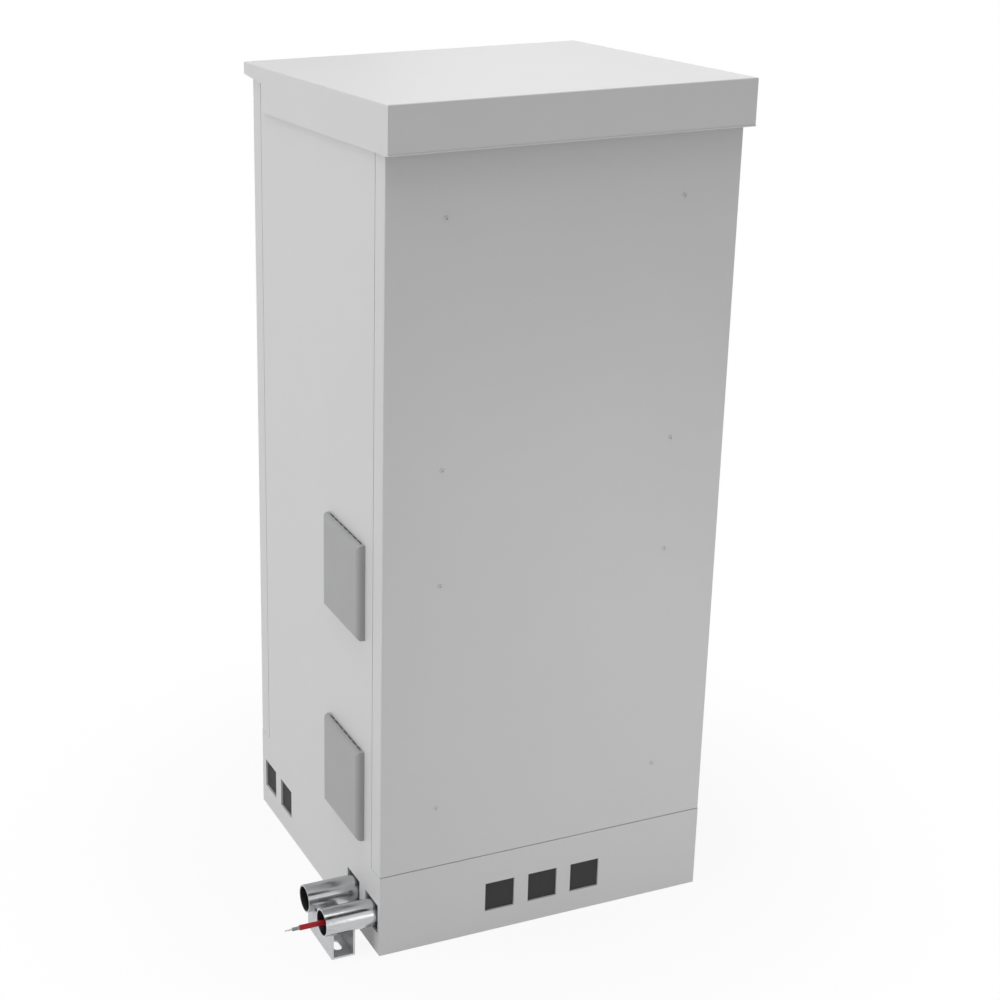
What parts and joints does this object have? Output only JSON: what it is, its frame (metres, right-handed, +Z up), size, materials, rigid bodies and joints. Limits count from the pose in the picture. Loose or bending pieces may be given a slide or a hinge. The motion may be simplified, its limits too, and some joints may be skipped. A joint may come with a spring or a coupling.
{
  "type": "outdoor rack cabinet",
  "caption": "Outdoor equipment cabinet on a plinth: sloping rain roof, vented filter hoods, cable conduits, hinged front door with rod latch, screwed rear panel, rack rails and fan inside.",
  "frame": {"origin": "on the ground, at the centre of the four floor anchors", "axes": "+Z up, the front door faces -Y, the removable rear panel faces +Y, the hoods and conduits are on the +X side"},
  "size_m": [1.021, 0.825, 1.9128],
  "materials": {
    "grey_sheet": "light grey textured powder coat",
    "roof_sheet": "light grey textured powder coat",
    "plated_steel": "zinc plated, satin",
    "bright_steel": "stainless, satin",
    "hood_plastic": "mid grey moulded plastic, fine texture",
    "dark_plastic": "black moulded plastic",
    "pale_plastic": "light grey moulded plastic",
    "conduit_metal": "galvanised pipe, bright satin",
    "foam": "black foam strip",
    "rubber": "black rubber",
    "filter_fleece": "white non-woven mat",
    "copper": "bare copper, satin",
    "red_sheath": "red cable sheath",
    "dark_metal": "black powder coated die casting"
  },
  "bodies": {
    "cabinet": {"cable_grommet": "rubber", "ceiling_tray": "grey_sheet", "conduit_entry_covers": "dark_plastic", "conduit_support": "plated_steel", "earth_bar": "copper", "fan_frame": "dark_plastic", "fan_guard": "plated_steel", "fan_switch_body": "pale_plastic", "far_conduit": "conduit_metal", "floor_entry_plate": "bright_steel", "floor_plate": "grey_sheet", "front_entry_covers": "dark_plastic", "front_frame": "grey_sheet", "hinge_frame_leaf_bottom": "bright_steel", "hinge_frame_leaf_middle": "bright_steel", "hinge_frame_leaf_top": "bright_steel", "left_entry_covers": "dark_plastic", "lower_filter_frame": "hood_plastic", "lower_filter_mat": "filter_fleece", "lower_hood": "hood_plastic", "near_conduit": "conduit_metal", "plinth_front": "grey_sheet", "plinth_rear": "grey_sheet", "power_cable": "red_sheath", "rack_rail_front_left": "plated_steel", "rack_rail_front_right": "plated_steel", "rack_rail_rear_left": "plated_steel", "rack_rail_rear_right": "plated_steel", "rail_tie_left": "plated_steel", "rail_tie_right": "plated_steel", "rear_entry_covers": "dark_plastic", "rear_frame": "grey_sheet", "rear_gasket": "foam", "rear_panel": "grey_sheet", "rear_panel_screws": "bright_steel", "rear_post_left": "plated_steel", "rear_post_right": "plated_steel", "right_entry_covers": "dark_plastic", "rod_keepers": "plated_steel", "roof_cap": "roof_sheet", "side_panel_left": "grey_sheet", "side_panel_right": "grey_sheet", "terminal_block": "pale_plastic", "terminal_bracket": "plated_steel", "upper_filter_frame": "hood_plastic", "upper_filter_mat": "filter_fleece", "upper_hood": "hood_plastic"},
    "door": {"front_door": "grey_sheet", "door_gasket": "foam", "hinge_door_leaf_bottom": "bright_steel", "hinge_door_leaf_middle": "bright_steel", "hinge_door_leaf_top": "bright_steel", "handle_plate": "dark_metal", "rod_guides": "dark_plastic"},
    "handle": {"door_handle": "dark_metal", "latch_cam": "plated_steel"},
    "upper_rod": {"upper_rod": "plated_steel"},
    "lower_rod": {"lower_rod": "plated_steel"},
    "fan_rotor": {"fan_rotor": "dark_plastic"},
    "fan_knob": {"fan_switch_knob": "pale_plastic"}
  },
  "joints": [
    {"name": "door_hinge", "type": "hinge", "parent": "cabinet", "child": "door", "pos_m": [-0.409, -0.329, 1.005], "axis": [0, 0, -1], "range_deg": [0, 120]},
    {"name": "handle_turn", "type": "hinge", "parent": "door", "child": "handle", "pos_m": [0.308, -0.363, 1.005], "axis": [0, -1, 0], "range_deg": [0, 90]},
    {"name": "upper_rod_slide", "type": "slide", "parent": "door", "child": "upper_rod", "axis": [0, 0, 1], "range_m": [0, 0.0227]},
    {"name": "lower_rod_slide", "type": "slide", "parent": "door", "child": "lower_rod", "axis": [0, 0, -1], "range_m": [0, 0.0227]},
    {"name": "fan_spin", "type": "hinge", "parent": "cabinet", "child": "fan_rotor", "pos_m": [0.3416, 0.184, 0.355], "axis": [1, 0, 0], "continuous": true},
    {"name": "fan_knob_turn", "type": "hinge", "parent": "cabinet", "child": "fan_knob", "pos_m": [0.353, 0.04, 0.688], "axis": [-1, 0, 0], "range_deg": [-135, 135]}
  ],
  "couplings": [
    {"joint": "upper_rod_slide", "follows": "handle_turn", "m_per_rad": 0.014405},
    {"joint": "lower_rod_slide", "follows": "handle_turn", "m_per_rad": 0.014405}
  ]
}
